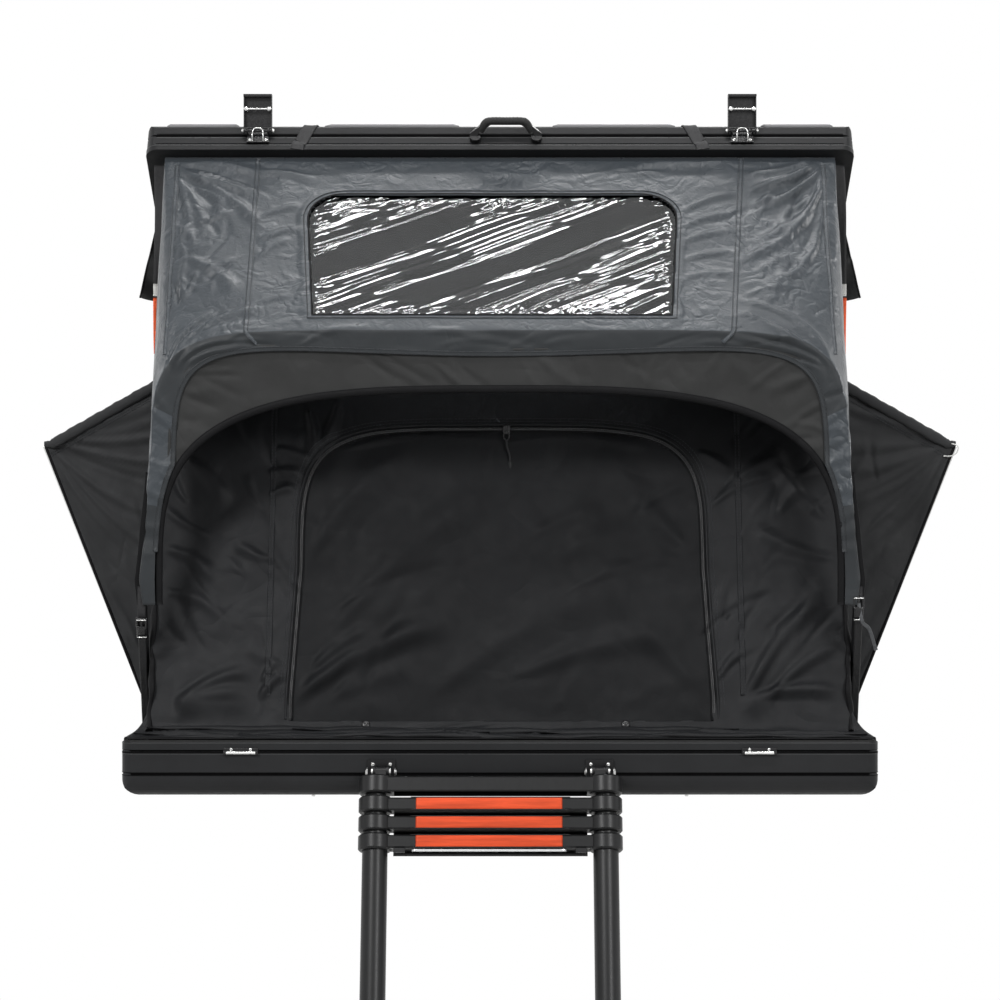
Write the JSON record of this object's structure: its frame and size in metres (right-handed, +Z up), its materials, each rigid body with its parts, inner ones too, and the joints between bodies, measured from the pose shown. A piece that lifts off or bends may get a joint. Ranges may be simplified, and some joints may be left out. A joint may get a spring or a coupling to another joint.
{
  "type": "roof top tent",
  "caption": "Hard-shell clamshell roof top tent with a front awning, fold-out side wings, zipped door, gas struts and a telescopic ladder hung from the base.",
  "frame": {"origin": "middle of the crossbar bolt pattern, on the underside of the mounting channels", "axes": "+X right seen from the ladder end, +Y towards the lid hinge, +Z up"},
  "size_m": [1.874, 2.7564, 2.755],
  "materials": {
    "shell": "satin black powder coat",
    "trim": "matte",
    "hardware": "satin",
    "bare_metal": "brushed",
    "ladder": "satin",
    "floor": "matte",
    "seal": "matte",
    "rubber_foot": "matte",
    "mattress": "matte",
    "liner": "matte",
    "awning": "satin",
    "valance": "matte",
    "wall": "matte",
    "wing": "matte",
    "webbing": "matte",
    "window": "gloss",
    "shell_skin": "satin black powder coat"
  },
  "bodies": {
    "base": {"base_floor": "floor", "base_rail_near": "shell", "base_rail_far": "shell", "base_rail_left": "shell", "base_rail_right": "shell", "base_seal": "seal", "channel_left": "hardware", "channel_right": "hardware", "mount_bolts": "bare_metal", "mattress": "mattress", "latch_keepers": "bare_metal", "ladder_bracket_left": "hardware", "ladder_bracket_right": "hardware", "ladder_pins": "bare_metal", "wing_sockets": "trim", "strut_base_brackets": "hardware", "hinge_base_leaf": "hardware", "hinge_pin": "bare_metal", "awning_roof": "awning", "awning_window": "window", "awning_valance": "valance", "awning_hoop": "trim", "door_wall": "wall", "door_panel": "wall", "side_wall_left": "wall", "side_wall_right": "wall", "tension_straps": "webbing"},
    "lid": {"lid_skin": "shell_skin", "lid_rail_near": "shell", "lid_rail_far": "shell", "lid_rail_left": "shell", "lid_rail_right": "shell", "lid_liner": "liner", "hinge_lid_leaf": "hardware", "latch_brackets": "hardware", "grab_handle": "trim", "strut_lid_brackets": "hardware", "lid_side_flaps": "wing"},
    "latch_left": {"latch_lever_left": "hardware"},
    "latch_right": {"latch_lever_right": "hardware"},
    "strut_barrel_left": {"strut_barrel_left": "hardware"},
    "strut_barrel_right": {"strut_barrel_right": "hardware"},
    "strut_rod_left": {"strut_rod_left": "bare_metal"},
    "strut_rod_right": {"strut_rod_right": "bare_metal"},
    "ladder_top": {"ladder_hanger": "hardware", "ladder_section_1": "ladder"},
    "ladder_button_left": {"ladder_button_left": "trim"},
    "ladder_button_right": {"ladder_button_right": "trim"},
    "wing_left": {"wing_rod_left": "trim", "wing_hood_left": "wing"},
    "wing_right": {"wing_rod_right": "trim", "wing_hood_right": "wing"},
    "ladder_2": {"ladder_section_2": "ladder"},
    "ladder_3": {"ladder_section_3": "ladder"},
    "ladder_4": {"ladder_section_4": "ladder"},
    "ladder_5": {"ladder_section_5": "ladder"},
    "ladder_6": {"ladder_section_6": "ladder"},
    "ladder_7": {"ladder_section_7": "ladder", "ladder_feet": "rubber_foot"}
  },
  "joints": [
    {"name": "lid_hinge", "type": "hinge", "parent": "base", "child": "lid", "pos_m": [0, 1.081, 0.1345], "axis": [1, 0, 0], "range_deg": [0, 33], "stiffness_Nm_per_rad": 1200, "springref_deg": -24.29, "deforming": ["awning_roof", "awning_window", "awning_valance", "awning_hoop", "door_wall", "door_panel", "side_wall_left", "side_wall_right", "tension_straps"]},
    {"name": "latch_left_swing", "type": "hinge", "parent": "lid", "child": "latch_left", "pos_m": [-0.495, -0.71464, 1.35008], "axis": [1, 0, 0], "range_deg": [0, 146]},
    {"name": "strut_left_turn", "type": "hinge", "parent": "base", "child": "strut_barrel_left", "pos_m": [-0.655, -0.019, 0.098], "axis": [1, 0, 0], "range_deg": [-19.65, 0]},
    {"name": "strut_left_slide", "type": "slide", "parent": "strut_barrel_left", "child": "strut_rod_left", "axis": [0, 0.9037, 0.4281], "range_m": [-0.16437, 0]},
    {"name": "wing_left_fold", "type": "hinge", "parent": "base", "child": "wing_left", "pos_m": [-0.703, -0.7, 0.1245], "axis": [0, 1, 0], "range_deg": [0, 111.66], "deforming": ["wing_hood_left"]},
    {"name": "latch_right_swing", "type": "hinge", "parent": "lid", "child": "latch_right", "pos_m": [0.495, -0.71464, 1.35008], "axis": [1, 0, 0], "range_deg": [0, 146]},
    {"name": "strut_right_turn", "type": "hinge", "parent": "base", "child": "strut_barrel_right", "pos_m": [0.655, -0.019, 0.098], "axis": [1, 0, 0], "range_deg": [-19.65, 0]},
    {"name": "strut_right_slide", "type": "slide", "parent": "strut_barrel_right", "child": "strut_rod_right", "axis": [0, 0.9037, 0.4281], "range_m": [-0.16437, 0]},
    {"name": "wing_right_fold", "type": "hinge", "parent": "base", "child": "wing_right", "pos_m": [0.703, -0.7, 0.1245], "axis": [0, -1, 0], "range_deg": [0, 111.66], "deforming": ["wing_hood_right"]},
    {"name": "ladder_swing", "type": "hinge", "parent": "base", "child": "ladder_top", "pos_m": [-0.018, -1.103, 0.078], "axis": [-1, 0, 0], "range_deg": [0, 80]},
    {"name": "ladder_slide_2", "type": "slide", "parent": "ladder_top", "child": "ladder_2", "axis": [0, -0.342, -0.9397], "range_m": [0, 0.294]},
    {"name": "ladder_slide_3", "type": "slide", "parent": "ladder_2", "child": "ladder_3", "axis": [0, -0.342, -0.9397], "range_m": [0, 0.294]},
    {"name": "ladder_slide_4", "type": "slide", "parent": "ladder_3", "child": "ladder_4", "axis": [0, -0.342, -0.9397], "range_m": [0, 0.294]},
    {"name": "ladder_slide_5", "type": "slide", "parent": "ladder_4", "child": "ladder_5", "axis": [0, -0.342, -0.9397], "range_m": [-0.294, 0]},
    {"name": "ladder_slide_6", "type": "slide", "parent": "ladder_5", "child": "ladder_6", "axis": [0, -0.342, -0.9397], "range_m": [-0.294, 0]},
    {"name": "ladder_slide_7", "type": "slide", "parent": "ladder_6", "child": "ladder_7", "axis": [0, -0.342, -0.9397], "range_m": [-0.294, 0]},
    {"name": "ladder_button_left_press", "type": "slide", "parent": "ladder_4", "child": "ladder_button_left", "axis": [1, 0, 0], "range_m": [0, 0.006], "stiffness_N_per_m": 400, "springref_m": -0.002},
    {"name": "ladder_button_right_press", "type": "slide", "parent": "ladder_4", "child": "ladder_button_right", "axis": [-1, 0, 0], "range_m": [0, 0.006], "stiffness_N_per_m": 400, "springref_m": -0.002}
  ],
  "couplings": [
    {"joint": "strut_left_turn", "follows": "lid_hinge", "ratio": -0.59511},
    {"joint": "strut_left_slide", "follows": "lid_hinge", "m_per_rad": -0.28536},
    {"joint": "wing_left_fold", "follows": "lid_hinge", "ratio": 3.3833},
    {"joint": "strut_right_turn", "follows": "lid_hinge", "ratio": -0.59511},
    {"joint": "strut_right_slide", "follows": "lid_hinge", "m_per_rad": -0.28536},
    {"joint": "wing_right_fold", "follows": "lid_hinge", "ratio": 3.3833}
  ]
}
